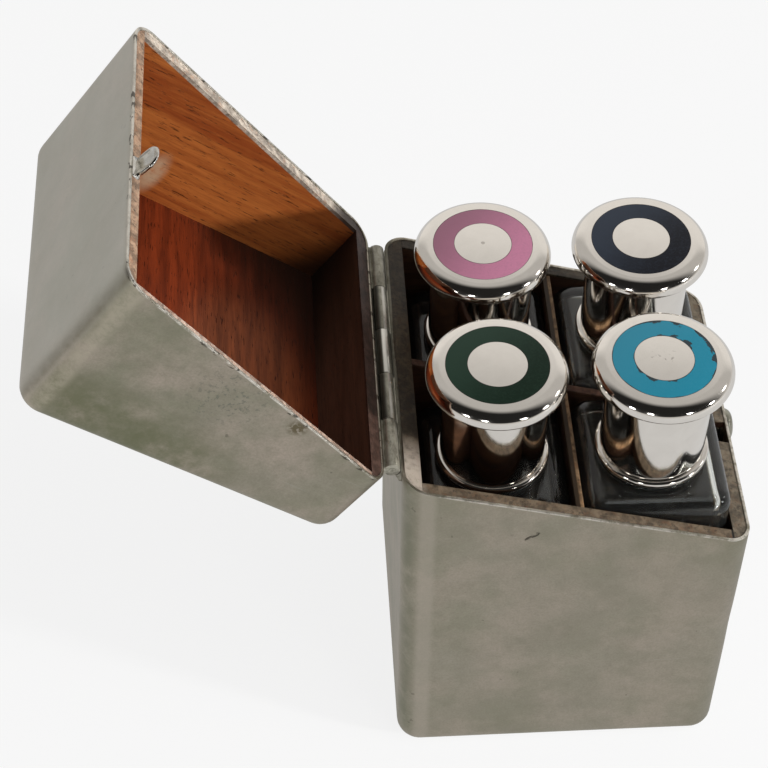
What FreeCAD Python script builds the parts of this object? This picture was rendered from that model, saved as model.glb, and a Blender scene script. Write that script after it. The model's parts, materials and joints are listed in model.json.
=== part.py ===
"""Slant-cut travelling caddy for four perfume bottles, with a hinged lid and a push-button catch.

X runs from the hinge (left) to the catch (right), Y from front to back and Z up. The origin is the
middle of the base's underside. The lid's pieces are drawn shut and turned open about the hinge axis.
"""
import FreeCAD, Part
import os
import re
import Sketcher
from FreeCAD import Vector

# Driving dimensions in millimetres, and the lid's opening in degrees
SIZES = {
    # sheet-metal case
    "case_width": 76.0,
    "case_depth": 76.0,
    "case_height": 118.5,
    "lid_height": 20.5,
    "rim_slant": 22.8,
    "rim_gap": 0.2,
    "sheet_metal": 0.7,
    "corner_round": 5.5,
    "edge_round": 4.5,
    "open_angle": 143.7,
    # wooden lining
    "side_board": 3.4,
    "end_board": 2.6,
    "lid_catch_board": 2.2,
    "lid_front_board": 1.1,
    "floor_board": 3.0,
    "top_board": 3.0,
    "board_set": 0.25,
    "divider": 1.8,
    "divider_drop": 1.0,
    "slot_play": 0.1,
    # hinge
    "barrel": 3.4,
    "barrel_stand": 0.28,
    "knuckle_gap": 0.15,
    "pin_diameter": 1.4,
    "pin_play": 0.05,
    "leaf_tall": 3.6,
    "leaf_edge": 0.5,
    # catch
    "button_diameter": 7.8,
    "button_proud": 2.2,
    "button_round": 1.9,
    "button_drop": 5.0,
    "button_play": 0.15,
    "flange_lip": 0.5,
    "flange_sheet": 0.6,
    "flange_gap": 0.1,
    "bolt_sheet": 0.8,
    "bolt_tall": 3.6,
    "finger_tall": 2.0,
    "catch_gap": 0.15,
    "spring_sheet": 0.25,
    "spring_width": 2.6,
    "spring_chord": 7.0,
    "mortise_depth": 2.9,
    "mortise_tall": 8.0,
    "mortise_play": 0.35,
    "tongue_offset": 6.4,
    "tongue_width": 5.5,
    "tongue_length": 5.2,
    "tongue_sheet": 0.8,
    "tongue_inset": 0.9,
    "tongue_lean": 1.0,
    "tongue_tip_flat": 0.55,
    "tongue_root": 8.0,
    # bottles
    "bottle_play": 0.4,
    "head_room": 1.1,
    "bottle_round": 4.5,
    "shoulder_round": 3.6,
    "heel_round": 1.2,
    "glass": 2.6,
    "glass_floor": 5.0,
    "inner_round": 2.2,
    "inner_round_step": 0.22,
    "seat_diameter": 23.6,
    "seat_height": 0.9,
    "neck_diameter": 17.0,
    "neck_height": 18.7,
    "lip_round": 0.8,
    "neck_bore": 11.2,
    # caps
    "cap_height": 28.5,
    "cap_sheet": 0.6,
    "head_diameter": 30.1,
    "head_height": 4.4,
    "head_round": 3.2,
    "head_under_round": 1.1,
    "skirt_diameter": 22.8,
    "skirt_cove": 0.9,
    "foot_diameter": 24.8,
    "foot_height": 2.0,
    "foot_flat": 0.2,
    "ring_outer": 21.8,
    "ring_inner": 12.5,
    "ring_depth": 0.4,
    "ring_fit": 0.03,
    # stoppers and corks
    "plug_fit": 0.08,
    "plug_length": 12.0,
    "plug_round": 1.2,
    "plug_head": 19.0,
    "plug_head_height": 3.2,
    "cork_fit": 0.05,
    "cork_gap": 0.1,
}

# Sizes that follow from the driving ones, kept in the sheet as formulas
FOLLOWING = {
    "rim_high": "case_height - lid_height",
    "rim_low": "rim_high - rim_slant",
    "room_height": "case_height - 2 * sheet_metal - floor_board - top_board - head_room",
    "bottle_height": "room_height - cap_height - seat_height",
    "tongue_tip_round": "(tongue_width - tongue_tip_flat) / 2",
    "inner_top_round": "inner_round - inner_round_step",
    "foot_round": "(foot_height - foot_flat) / 2",
}

# Places worked out from the sizes
INNER_X = "(case_width / 2 - sheet_metal)"
INNER_Y = "(case_depth / 2 - sheet_metal)"
CELL_END_X = f"({INNER_X} - side_board)"
CELL_END_Y = f"({INNER_Y} - end_board)"
FLOOR_TOP = "(sheet_metal + floor_board)"
LID_TOP = "(case_height - sheet_metal)"
CENTRE_X = f"(({CELL_END_X} + divider / 2) / 2)"
CENTRE_Y = f"(({CELL_END_Y} + divider / 2) / 2)"
AXIS_X = "(-case_width / 2 - barrel_stand - barrel / 2)"
AXIS_Z = "(rim_high + rim_gap / 2)"
HINGE_LENGTH = "(case_depth - 2 * corner_round)"
KNUCKLES = 5
BUTTON_Z = "(rim_low - button_drop)"
MORTISE_X = f"({INNER_X} - mortise_depth)"
BOLT_X = f"({INNER_X} - flange_gap - flange_sheet - bolt_sheet)"
TONGUE_BACK = "(-tongue_offset + tongue_width / 2)"
SHOULDER_Z = f"({FLOOR_TOP} + bottle_height)"
CAP_FOOT_Z = f"({SHOULDER_Z} + seat_height)"
NECK_TOP_Z = f"({SHOULDER_Z} + neck_height)"
CAP_CEILING = "(cap_height - ring_depth - cap_sheet)"
BASE_BOARDS = {"left": "side_board", "right": "side_board", "front": "end_board", "back": "end_board"}
LID_BOARDS = {**BASE_BOARDS, "right": "lid_catch_board", "front": "lid_front_board"}
COLOURS = {"rose": (-1, 1), "navy": (1, 1), "green": (-1, -1), "turquoise": (1, -1)}
TOUCH = 1e-5

doc = FreeCAD.newDocument("perfume_caddy")
sheet = doc.addObject("Spreadsheet::Sheet", "sizes")
pieces = []


def rim(x):
    """Height of the slanted rim of the base at one place across the case."""
    return f"(rim_high + (rim_low - rim_high) * (({x}) / case_width + 1 / 2))"


def cells(expression):
    """The expression with each size's name turned into its cell of the sheet."""
    known = {**SIZES, **FOLLOWING}
    return re.sub(r"[a-z_]+", lambda m: "sizes." + m.group() if m.group() in known else m.group(), expression)


def number(expression):
    return float(sheet.evalExpression(cells(expression)))


def bind(item, **values):
    """Tie properties of an object to the sheet; a double underscore stands for a dot."""
    for name, expression in values.items():
        item.setExpression(name.replace("__", "."), cells(expression))


def place(item, x="0", y="0", z="0"):
    bind(item, Placement__Base__x=x, Placement__Base__y=y, Placement__Base__z=z)
    return item


def piece(item, label):
    """Mark an object as one of the finished sub-parts."""
    item.Label = label
    pieces.append(item)
    return item


def turned_open(item):
    """Turn a sub-part of the lid from shut to open about the hinge axis."""
    item.Placement = FreeCAD.Placement(Vector(), FreeCAD.Rotation(Vector(0, -1, 0), number("open_angle")))
    cosine = "cos(open_angle * 1 deg)"
    sine = "sin(open_angle * 1 deg)"
    bind(
        item,
        Placement__Rotation__Angle="open_angle",
        Placement__Base__x=f"{AXIS_X} * (1 - {cosine}) + {AXIS_Z} * {sine}",
        Placement__Base__z=f"{AXIS_Z} * (1 - {cosine}) - {AXIS_X} * {sine}",
    )
    return item


def polygon(body, role, corners):
    """A closed sketch of straight lines on one of the body's own planes, each corner tied to the sheet."""
    sketch = body.newObject("Sketcher::SketchObject", body.Name + "_outline")
    plane = next(item for item in body.Origin.OriginFeatures if item.Role == role)
    sketch.AttachmentSupport = (plane, [""])
    sketch.MapMode = "FlatFace"
    points = [Vector(number(x), number(y), 0) for x, y in corners]
    count = len(points)
    for i in range(count):
        sketch.addGeometry(Part.LineSegment(points[i], points[(i + 1) % count]))
    for i in range(count):
        sketch.addConstraint(Sketcher.Constraint("Coincident", i, 2, (i + 1) % count, 1))
    for i, (x, y) in enumerate(corners):
        for kind, expression in (("DistanceX", x), ("DistanceY", y)):
            index = sketch.addConstraint(Sketcher.Constraint(kind, -1, 1, i, 1, number(expression)))
            bind(sketch, **{f"Constraints[{index}]": expression})
    return sketch


def padded(name, role, corners, length, symmetric=True):
    """A body with one straight-sided pad."""
    body = doc.addObject("PartDesign::Body", name)
    sketch = polygon(body, role, corners)
    pad = body.newObject("PartDesign::Pad", name + "_pad")
    pad.Profile = sketch
    pad.SideType = "Symmetric" if symmetric else "One side"
    bind(pad, Length=length)
    doc.recompute()
    return body


def revolved(body, corners):
    """Add a solid turned about the body's Z axis; corners are radius and height."""
    sketch = polygon(body, "XZ_Plane", corners)
    solid = body.newObject("PartDesign::Revolution", sketch.Name + "_turned")
    solid.Profile = sketch
    solid.ReferenceAxis = (sketch, ["V_Axis"])
    solid.Angle = 360
    doc.recompute()
    return solid


def fillet(body, radius, chosen):
    """Round the edges of a body that the test picks."""
    base = body.Tip
    names = [f"Edge{i}" for i, edge in enumerate(base.Shape.Edges, start=1) if chosen(edge)]
    rounding = body.newObject("PartDesign::Fillet", body.Name + "_round")
    rounding.Base = (base, names)
    bind(rounding, Radius=radius)
    doc.recompute()
    return rounding


def upright(edge):
    return isinstance(edge.Curve, Part.Line) and abs(edge.Curve.Direction.z) > 1 - TOUCH


def level(height):
    """Test for edges that lie flat at one height."""
    z = number(height)
    return lambda edge: abs(edge.BoundBox.ZMin - z) < TOUCH and abs(edge.BoundBox.ZMax - z) < TOUCH


def circle(radius, height):
    """Test for a round edge about the body's Z axis."""
    r, z = number(radius), number(height)

    def chosen(edge):
        round_edge = isinstance(edge.Curve, Part.Circle) and abs(edge.Curve.Radius - r) < TOUCH
        return round_edge and abs(edge.Curve.Center.z - z) < TOUCH

    return chosen


def box(name, x, y, z):
    """A box between pairs of expressions."""
    item = doc.addObject("Part::Box", name)
    bind(item, Length=f"({x[1]}) - ({x[0]})", Width=f"({y[1]}) - ({y[0]})", Height=f"({z[1]}) - ({z[0]})")
    return place(item, x[0], y[0], z[0])


def rod(name, diameter, length, start, direction):
    """A cylinder from a start point along a direction."""
    item = doc.addObject("Part::Cylinder", name)
    item.Placement = FreeCAD.Placement(Vector(), FreeCAD.Rotation(Vector(0, 0, 1), direction))
    bind(item, Radius=f"({diameter}) / 2", Height=length)
    return place(item, *start)


def cut(name, base, *tools):
    for i, tool in enumerate(tools):
        item = doc.addObject("Part::Cut", name if i + 1 == len(tools) else f"{name}_cut_{i}")
        item.Base = base
        item.Tool = tool
        base = item
    return base


def common(name, base, tool):
    item = doc.addObject("Part::Common", name)
    item.Base = base
    item.Tool = tool
    return item


def fuse(name, *items):
    item = doc.addObject("Part::MultiFuse", name)
    item.Shapes = list(items)
    return item


def case_block(name, inset, low, high, flat):
    """Block of the case's plan, set in from its outside and rounded; low and high are left and right heights."""
    half = f"(case_width / 2 - {inset})"
    corners = [(f"-{half}", low[0]), (half, low[1]), (half, high[1]), (f"-{half}", high[0])]
    body = padded(name, "XZ_Plane", corners, f"case_depth - 2 * {inset}")
    fillet(body, f"corner_round - {inset}", upright)
    fillet(body, f"edge_round - {inset}", level(flat))
    return body


def fill_sheet():
    formulas = {name: "=" + expression for name, expression in FOLLOWING.items()}
    for row, (name, value) in enumerate({**SIZES, **formulas}.items(), start=1):
        sheet.set(f"A{row}", name)
        sheet.set(f"B{row}", str(value))
        sheet.setAlias(f"B{row}", name)
    doc.recompute()


def base_blocks():
    """The base's outside, its hollow, which runs on past the rim, and the block its lining is cut from."""
    ends = (f"-{INNER_X}", INNER_X)
    outside = case_block("base_outside", "0", ("0", "0"), ("rim_high", "rim_low"), "0")
    past = [f"{rim(x)} + edge_round" for x in ends]
    hollow = case_block("base_hollow", "sheet_metal", ("sheet_metal",) * 2, past, "sheet_metal")
    tops = [f"{rim(x)} - board_set" for x in ends]
    lining = case_block("base_lining", "sheet_metal", ("sheet_metal",) * 2, tops, "sheet_metal")
    return outside, hollow, lining


def lid_blocks():
    """The same three blocks for the lid, drawn shut above the slanted gap."""
    ends = (f"-{INNER_X}", INNER_X)
    feet = [f"{height} + rim_gap" for height in ("rim_high", "rim_low")]
    outside = case_block("lid_outside", "0", feet, ("case_height",) * 2, "case_height")
    past = [f"{rim(x)} - edge_round" for x in ends]
    hollow = case_block("lid_hollow", "sheet_metal", past, (LID_TOP,) * 2, LID_TOP)
    feet = [f"{rim(x)} + rim_gap + board_set" for x in ends]
    lining = case_block("lid_lining", "sheet_metal", feet, (LID_TOP,) * 2, LID_TOP)
    return outside, hollow, lining


def boards(part, lining, thick, low, high):
    """Side boards run the whole depth, and the front and back boards stand between them."""
    out_y = (f"-{INNER_Y}", INNER_Y)
    in_x = (f"{thick['left']} - {INNER_X}", f"{INNER_X} - {thick['right']}")
    spans = {
        "left": ((f"-{INNER_X}", in_x[0]), out_y),
        "right": ((in_x[1], INNER_X), out_y),
        "front": (in_x, (f"-{INNER_Y}", f"{thick['front']} - {INNER_Y}")),
        "back": (in_x, (f"{INNER_Y} - {thick['back']}", INNER_Y)),
    }
    made = {}
    for side, (x, y) in spans.items():
        blank = box(f"{part}_{side}_blank", x, y, (low, high))
        made[side] = common(f"{part}_{side}", lining, blank)
    return made


def build_base():
    outside, hollow, lining = base_blocks()
    hole = rod(
        "button_hole", "button_diameter + 2 * button_play", "2 * sheet_metal",
        (f"{INNER_X} - sheet_metal / 2", "0", BUTTON_Z), Vector(1, 0, 0),
    )
    piece(cut("base_shell", outside, hollow, hole), "base_shell")
    full = ((f"-{INNER_X}", INNER_X), (f"-{INNER_Y}", INNER_Y))
    floor = box("floor_blank", *full, ("sheet_metal", FLOOR_TOP))
    piece(common("base_floor", lining, floor), "base_floor_board")
    made = boards("base", lining, BASE_BOARDS, FLOOR_TOP, "rim_high")
    made["right"] = cut("base_right_mortised", made["right"], *catch_recesses())
    for side, board in made.items():
        piece(board, f"base_board_{side}")


def catch_recesses():
    """Slot for the lid's tongue, open at the rim, and the round pocket behind the button."""
    slot = box(
        "tongue_slot",
        (MORTISE_X, "case_width / 2"),
        ("-tongue_offset - tongue_width / 2 - mortise_play", f"{TONGUE_BACK} + mortise_play"),
        ("rim_low - mortise_tall", "rim_high"),
    )
    pocket = rod(
        "button_pocket", "button_diameter + 2 * flange_lip + 2 * button_play", "mortise_depth + sheet_metal",
        (MORTISE_X, "0", BUTTON_Z), Vector(1, 0, 0),
    )
    return slot, pocket


def build_dividers():
    """Two boards halved together: the long one is slotted from above, the cross one from below."""
    top = f"({rim('0')} - divider_drop)"
    middle = f"(({FLOOR_TOP} + {top}) / 2)"
    slot = "(divider / 2 + slot_play / 2)"
    long_corners = [
        (f"-{CELL_END_Y}", FLOOR_TOP), (CELL_END_Y, FLOOR_TOP), (CELL_END_Y, top), (slot, top),
        (slot, middle), (f"-{slot}", middle), (f"-{slot}", top), (f"-{CELL_END_Y}", top),
    ]
    piece(padded("divider_along", "YZ_Plane", long_corners, "divider"), "divider_long")
    ends = [f"-{CELL_END_X}", CELL_END_X]
    heights = [f"{rim(x)} - divider_drop" for x in ends]
    cross_corners = [
        (ends[0], FLOOR_TOP), (f"-{slot}", FLOOR_TOP), (f"-{slot}", middle), (slot, middle),
        (slot, FLOOR_TOP), (ends[1], FLOOR_TOP), (ends[1], heights[1]), (ends[0], heights[0]),
    ]
    piece(padded("divider_across", "XZ_Plane", cross_corners, "divider"), "divider_cross")


def build_lid():
    outside, hollow, lining = lid_blocks()
    piece(turned_open(cut("lid_shell", outside, hollow)), "lid_shell")
    full = ((f"-{INNER_X}", INNER_X), (f"-{INNER_Y}", INNER_Y))
    ceiling = f"({LID_TOP} - top_board)"
    top = box("top_blank", *full, (ceiling, LID_TOP))
    piece(turned_open(common("lid_top", lining, top)), "lid_top_board")
    made = boards("lid", lining, LID_BOARDS, "rim_low", ceiling)
    root = box(
        "tongue_recess",
        (f"{INNER_X} - tongue_inset - tongue_sheet", "case_width / 2"),
        ("-tongue_offset - tongue_width / 2", TONGUE_BACK),
        ("rim_low", "rim_low + rim_gap + tongue_root"),
    )
    made["right"] = cut("lid_right_recessed", made["right"], root)
    for side, board in made.items():
        piece(turned_open(board), f"lid_board_{side}")
    piece(turned_open(catch_tongue()), "lid_catch_tongue")


def catch_tongue():
    """Bent tongue: a root block behind the lid's shell, and a blade that leans in towards its round tip."""
    outer = f"({INNER_X} - tongue_inset)"
    inner = f"({outer} - tongue_sheet)"
    foot = f"({rim(INNER_X)} + rim_gap)"
    top = "(rim_low + rim_gap + tongue_root)"
    tip = "(rim_low - tongue_length)"
    corners = [
        (f"{inner} - tongue_lean", tip), (f"{outer} - tongue_lean", tip), (outer, foot), (INNER_X, foot),
        (INNER_X, top), (inner, top), (inner, foot),
    ]
    body = padded("catch_blade", "XZ_Plane", corners, "tongue_width")
    at_tip = level(tip)
    fillet(body, "tongue_tip_round", lambda edge: at_tip(edge) and edge.BoundBox.YLength < TOUCH)
    return place(body, y="-tongue_offset")


def build_hinge():
    """Two leaves that taper to the wall, with knuckles in turn along one barrel, and a pin through all."""
    pitch = f"({HINGE_LENGTH} / {KNUCKLES})"
    wall = "(-case_width / 2)"
    bore = rod("pin_bore", "pin_diameter + 2 * pin_play", HINGE_LENGTH, hinge_start("0"), Vector(0, 1, 0))
    leaves = {"lid": (1, (0, 2, 4)), "base": (-1, (1, 3))}
    for part, (side, own) in leaves.items():
        corners = [
            (wall, f"{AXIS_Z} + ({side}) * leaf_tall"), (f"{wall} - leaf_edge", f"{AXIS_Z} + ({side}) * leaf_tall"),
            (AXIS_X, AXIS_Z), (wall, f"{AXIS_Z} + ({side}) * rim_gap / 2"),
        ]
        strip = padded(f"{part}_leaf_strip", "XZ_Plane", corners, HINGE_LENGTH)
        knuckles = []
        clearances = []
        for i in range(KNUCKLES):
            start = hinge_start(f"{i} * {pitch}")
            if i in own:
                near = hinge_start(f"{i} * {pitch} + knuckle_gap / 2")
                knuckles.append(
                    rod(f"{part}_knuckle_{i}", "barrel", f"{pitch} - knuckle_gap", near, Vector(0, 1, 0))
                )
            else:
                wide = "barrel + 2 * knuckle_gap"
                clearances.append(rod(f"{part}_clearance_{i}", wide, pitch, start, Vector(0, 1, 0)))
        whole = fuse(f"{part}_leaf_whole", cut(f"{part}_leaf_cleared", strip, *clearances), *knuckles)
        leaf = piece(cut(f"{part}_leaf", whole, bore), f"{part}_hinge_leaf")
        if part == "lid":
            turned_open(leaf)
    pin = rod("pin", "pin_diameter", HINGE_LENGTH, hinge_start("0"), Vector(0, 1, 0))
    piece(pin, "hinge_pin")


def hinge_start(along):
    """A point of the hinge axis, measured from the front end of the barrel."""
    return AXIS_X, f"{along} - {HINGE_LENGTH} / 2", AXIS_Z


def build_catch():
    """Domed button with a flange behind the wall, its bolt plate, and a bow spring in the pocket."""
    body = doc.addObject("PartDesign::Body", "button")
    radius = "(button_diameter / 2)"
    flange = "(button_diameter / 2 + flange_lip)"
    back = "(-sheet_metal - flange_gap - flange_sheet)"
    face = "(-sheet_metal - flange_gap)"
    revolved(body, [
        ("0", back), (flange, back), (flange, face), (radius, face), (radius, "button_proud"), ("0", "button_proud"),
    ])
    fillet(body, "button_round", circle(radius, "button_proud"))
    body.Placement = FreeCAD.Placement(Vector(), FreeCAD.Rotation(Vector(0, 0, 1), Vector(1, 0, 0)))
    piece(place(body, "case_width / 2", "0", BUTTON_Z), "latch_button")

    reach = f"({TONGUE_BACK} + catch_gap)"
    neck = "(-bolt_tall / 2)"
    tall = "(bolt_tall / 2)"
    finger = "(finger_tall / 2)"
    bolt = padded("bolt", "YZ_Plane", [
        (reach, f"-{finger}"), (neck, f"-{finger}"), (neck, f"-{tall}"), (tall, f"-{tall}"),
        (tall, tall), (neck, tall), (neck, finger), (reach, finger),
    ], "bolt_sheet", symmetric=False)
    piece(place(bolt, BOLT_X, "0", BUTTON_Z), "latch_bolt")

    bow = f"({BOLT_X} - {MORTISE_X})"
    radius = f"((spring_chord * spring_chord / 4 + {bow} * {bow}) / (2 * {bow}))"
    start = (f"{BOLT_X} - {radius}", "-spring_width / 2", BUTTON_Z)
    rim_rod = rod("spring_outside", f"2 * {radius}", "spring_width", start, Vector(0, 1, 0))
    core = rod("spring_inside", f"2 * ({radius} - spring_sheet)", "spring_width", start, Vector(0, 1, 0))
    blank = box(
        "spring_blank", (MORTISE_X, BOLT_X), ("-spring_width / 2", "spring_width / 2"),
        (f"{BUTTON_Z} - spring_chord / 2", f"{BUTTON_Z} + spring_chord / 2"),
    )
    piece(common("spring", cut("spring_ring", rim_rod, core), blank), "latch_spring")


def square_block(name, inset, low, high, upright_round, top_round):
    """A bottle's square body, or the hollow in it, with rounded edges."""
    half_x = f"({CELL_END_X} / 2 - divider / 4 - bottle_play - {inset})"
    half_y = f"({CELL_END_Y} / 2 - divider / 4 - bottle_play - {inset})"
    corners = [(f"-{half_x}", f"-{half_y}"), (half_x, f"-{half_y}"), (half_x, half_y), (f"-{half_x}", half_y)]
    body = padded(name, "XY_Plane", corners, f"{high} - {low}", symmetric=False)
    body.Group[0].AttachmentOffset = FreeCAD.Placement(Vector(0, 0, number(low)), FreeCAD.Rotation())
    bind(body.Group[0], AttachmentOffset__Base__z=low)
    doc.recompute()
    fillet(body, upright_round, upright)
    fillet(body, top_round, level(high))
    return body


def bottle_blank():
    """Outside of a bottle and the hollow in it, both standing on the origin."""
    outside = square_block("bottle_outside", "0", "0", "bottle_height", "bottle_round", "shoulder_round")
    fillet(outside, "heel_round", level("0"))
    neck = "(neck_diameter / 2)"
    seat = "(seat_diameter / 2)"
    seat_top = "(bottle_height + seat_height)"
    neck_top = "(bottle_height + neck_height)"
    root = "(bottle_height - glass / 2)"
    revolved(outside, [
        ("0", root), (seat, root), (seat, seat_top), (neck, seat_top), (neck, neck_top), ("0", neck_top),
    ])
    fillet(outside, "lip_round", circle(neck, neck_top))
    shoulder = "(bottle_height - glass)"
    inside = square_block("bottle_inside", "glass", "glass_floor", shoulder, "inner_round", "inner_top_round")
    bore = "(neck_bore / 2)"
    revolved(inside, [
        ("0", "glass_floor + glass"), (bore, "glass_floor + glass"), (bore, f"{neck_top} + glass"),
        ("0", f"{neck_top} + glass"),
    ])
    return outside, inside


def cap_profile():
    """Spun sheet: foot bead, skirt, mushroom head with a recess for the ring, and the hollow inside."""
    skirt = "(skirt_diameter / 2)"
    inner = f"({skirt} - cap_sheet)"
    foot = "(foot_diameter / 2)"
    head = "(head_diameter / 2)"
    under = "(cap_height - head_height)"
    shelf = f"({under} + cap_sheet)"
    hollow = f"({head} - cap_sheet)"
    ring_floor = "(cap_height - ring_depth)"
    ring_out = "(ring_outer / 2 + ring_fit)"
    ring_in = "(ring_inner / 2 - ring_fit)"
    return [
        (inner, "0"), (foot, "0"), (foot, "foot_height"), (skirt, "foot_height"), (skirt, under), (head, under),
        (head, "cap_height"), (ring_out, "cap_height"), (ring_out, ring_floor), (ring_in, ring_floor),
        (ring_in, "cap_height"), ("0", "cap_height"), ("0", CAP_CEILING), (hollow, CAP_CEILING),
        (hollow, shelf), (inner, shelf),
    ]


def build_cap(colour, centre):
    body = doc.addObject("PartDesign::Body", f"{colour}_cap")
    revolved(body, cap_profile())
    under = "cap_height - head_height"
    fillet(body, "head_round", circle("head_diameter / 2", "cap_height"))
    fillet(body, "head_round - cap_sheet", circle("head_diameter / 2 - cap_sheet", CAP_CEILING))
    fillet(body, "head_under_round", circle("head_diameter / 2", under))
    fillet(body, "skirt_cove", circle("skirt_diameter / 2", under))
    for height in ("0", "foot_height"):
        fillet(body, "foot_round", circle("foot_diameter / 2", height))
    piece(place(body, *centre, CAP_FOOT_Z), f"cap_{colour}")

    ring = doc.addObject("PartDesign::Body", f"{colour}_ring")
    ring_floor = "(cap_height - ring_depth)"
    revolved(ring, [
        ("ring_inner / 2", ring_floor), ("ring_outer / 2", ring_floor), ("ring_outer / 2", "cap_height"),
        ("ring_inner / 2", "cap_height"),
    ])
    piece(place(ring, *centre, CAP_FOOT_Z), f"enamel_ring_{colour}")


def build_stopper(colour, centre):
    """Glass plug whose head lies on the cork disc; the cork is pressed into the cap's skirt."""
    plug = "(neck_bore / 2 - plug_fit)"
    head = "(plug_head / 2)"
    cork_top = f"({CAP_FOOT_Z} + {CAP_CEILING} - plug_head_height - {NECK_TOP_Z})"
    head_top = f"({cork_top} + plug_head_height)"
    body = doc.addObject("PartDesign::Body", f"{colour}_stopper")
    revolved(body, [
        ("0", "-plug_length"), (plug, "-plug_length"), (plug, cork_top), (head, cork_top), (head, head_top),
        ("0", head_top),
    ])
    fillet(body, "plug_round", circle(plug, "-plug_length"))
    piece(place(body, *centre, NECK_TOP_Z), f"stopper_{colour}")

    cork = doc.addObject("PartDesign::Body", f"{colour}_cork")
    outer = "(skirt_diameter / 2 - cap_sheet - cork_fit)"
    hole = f"({plug} + cork_fit)"
    revolved(cork, [(hole, "cork_gap"), (outer, "cork_gap"), (outer, cork_top), (hole, cork_top)])
    piece(place(cork, *centre, NECK_TOP_Z), f"cork_{colour}")


def build_bottles():
    outside, inside = bottle_blank()
    for colour, (across, along) in COLOURS.items():
        centre = (f"{across} * {CENTRE_X}", f"{along} * {CENTRE_Y}")
        bottle = cut(f"{colour}_bottle", outside, inside)
        piece(place(bottle, *centre, FLOOR_TOP), f"bottle_{colour}")
        build_cap(colour, centre)
        build_stopper(colour, centre)


def check_and_write():
    doc.recompute()
    for item in doc.Objects:
        if {"Invalid", "Error"} & set(item.State):
            raise RuntimeError(f"{item.Label} is {item.State}")
    for item in pieces:
        if item.Shape.isNull() or not item.Shape.isValid() or not item.Shape.Solids:
            raise RuntimeError(f"{item.Label} has no valid solid")
    os.makedirs("parts", exist_ok=True)
    for item in pieces:
        item.Shape.exportStep(f"parts/{item.Label}.step")
        size = item.Shape.BoundBox
        print(f"{item.Label}: {item.Shape.Volume:.1f} mm3, {len(item.Shape.Solids)} solid,",
              f"x {size.XMin:.2f} {size.XMax:.2f}, y {size.YMin:.2f} {size.YMax:.2f},",
              f"z {size.ZMin:.2f} {size.ZMax:.2f}")


fill_sheet()
build_base()
build_dividers()
build_hinge()
build_catch()
build_lid()
build_bottles()
check_and_write()
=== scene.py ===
"""Looks of the slant-cut perfume caddy: worn plated sheet, mahogany lining, clear bottles and polished caps.

Shapes are worked out in millimetres in the frame of the CAD model and put in as metres. The lid's pieces
are drawn shut and turned open about the hinge axis, and so are the patterns of their finishes.
"""

import json
import math

import bpy
import numpy as np
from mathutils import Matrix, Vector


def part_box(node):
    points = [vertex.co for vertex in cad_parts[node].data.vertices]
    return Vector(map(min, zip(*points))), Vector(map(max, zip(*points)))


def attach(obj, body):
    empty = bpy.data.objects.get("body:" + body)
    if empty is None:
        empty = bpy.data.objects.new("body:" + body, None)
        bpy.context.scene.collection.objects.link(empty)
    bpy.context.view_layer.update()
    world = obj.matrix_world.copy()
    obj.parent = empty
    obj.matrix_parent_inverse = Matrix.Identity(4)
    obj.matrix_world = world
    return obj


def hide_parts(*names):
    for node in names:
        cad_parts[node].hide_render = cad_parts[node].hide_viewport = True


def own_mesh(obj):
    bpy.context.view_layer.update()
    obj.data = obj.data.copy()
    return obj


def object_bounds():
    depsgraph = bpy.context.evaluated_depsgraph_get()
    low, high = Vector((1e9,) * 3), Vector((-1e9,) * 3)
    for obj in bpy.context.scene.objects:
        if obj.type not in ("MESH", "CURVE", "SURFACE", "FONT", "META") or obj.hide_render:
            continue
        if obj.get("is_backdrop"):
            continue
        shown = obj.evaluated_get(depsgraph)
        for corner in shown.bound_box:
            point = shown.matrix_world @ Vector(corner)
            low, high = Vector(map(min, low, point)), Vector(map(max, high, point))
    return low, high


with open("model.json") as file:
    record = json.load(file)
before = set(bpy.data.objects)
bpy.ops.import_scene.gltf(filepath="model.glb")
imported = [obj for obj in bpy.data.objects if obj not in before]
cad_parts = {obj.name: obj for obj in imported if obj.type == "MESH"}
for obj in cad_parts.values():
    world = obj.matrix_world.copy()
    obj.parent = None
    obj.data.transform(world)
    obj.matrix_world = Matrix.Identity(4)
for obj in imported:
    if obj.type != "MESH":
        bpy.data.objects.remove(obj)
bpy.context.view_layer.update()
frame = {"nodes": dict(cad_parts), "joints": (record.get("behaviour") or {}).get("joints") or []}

MM = 0.001
scene = bpy.context.scene


def extent(node):
    """Lowest and highest corner of a CAD node in millimetres."""
    low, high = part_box(node)
    return np.array(low) / MM, np.array(high) / MM


def foot_middle(low, high):
    """Middle of the underside of a box."""
    return np.array((*((low + high)[:2] / 2), low[2]))


def joint_named(name):
    """Joint of the frame with this name."""
    return next(joint for joint in frame["joints"] if joint["name"] == name)


# Sizes read from the frame
_, base_high = extent("base_shell")
HALF = base_high[1]
RIM_HIGH = base_high[2]
hinge = joint_named("lid_hinge")
AXIS_X, _, AXIS_Z = np.array(hinge["pos_m"]) / MM
OPEN = -math.radians(hinge["range_deg"][0])
COLOURS = ("rose", "navy", "green", "turquoise")

# Sizes that the frame doesn't spell out, in millimetres
RIM_LOW = 75.2
RIM_GAP = 0.2
CASE_TOP = 118.5
SHEET = 0.7
CORNER = 5.5
EDGE = 4.5
RIM_EASE = 0.16
SLOPE = (RIM_LOW - RIM_HIGH) / (2 * HALF)
RIM_MIDDLE = (RIM_LOW + RIM_HIGH) / 2

# Angle in degrees above which an edge stays sharp, and counts of points along curves and walls
SHARP_ANGLE = 50
BEND_STEPS = 9
WALL_STEPS = 30
RIM_STEPS = 7
TURNED_STEPS = 144
BUTTON_STEPS = 96
SPRING_STEPS = 25


def rim(x):
    """Height of the slanted rim, a straight line from hinge side to catch side."""
    return RIM_MIDDLE + SLOPE * x


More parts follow.
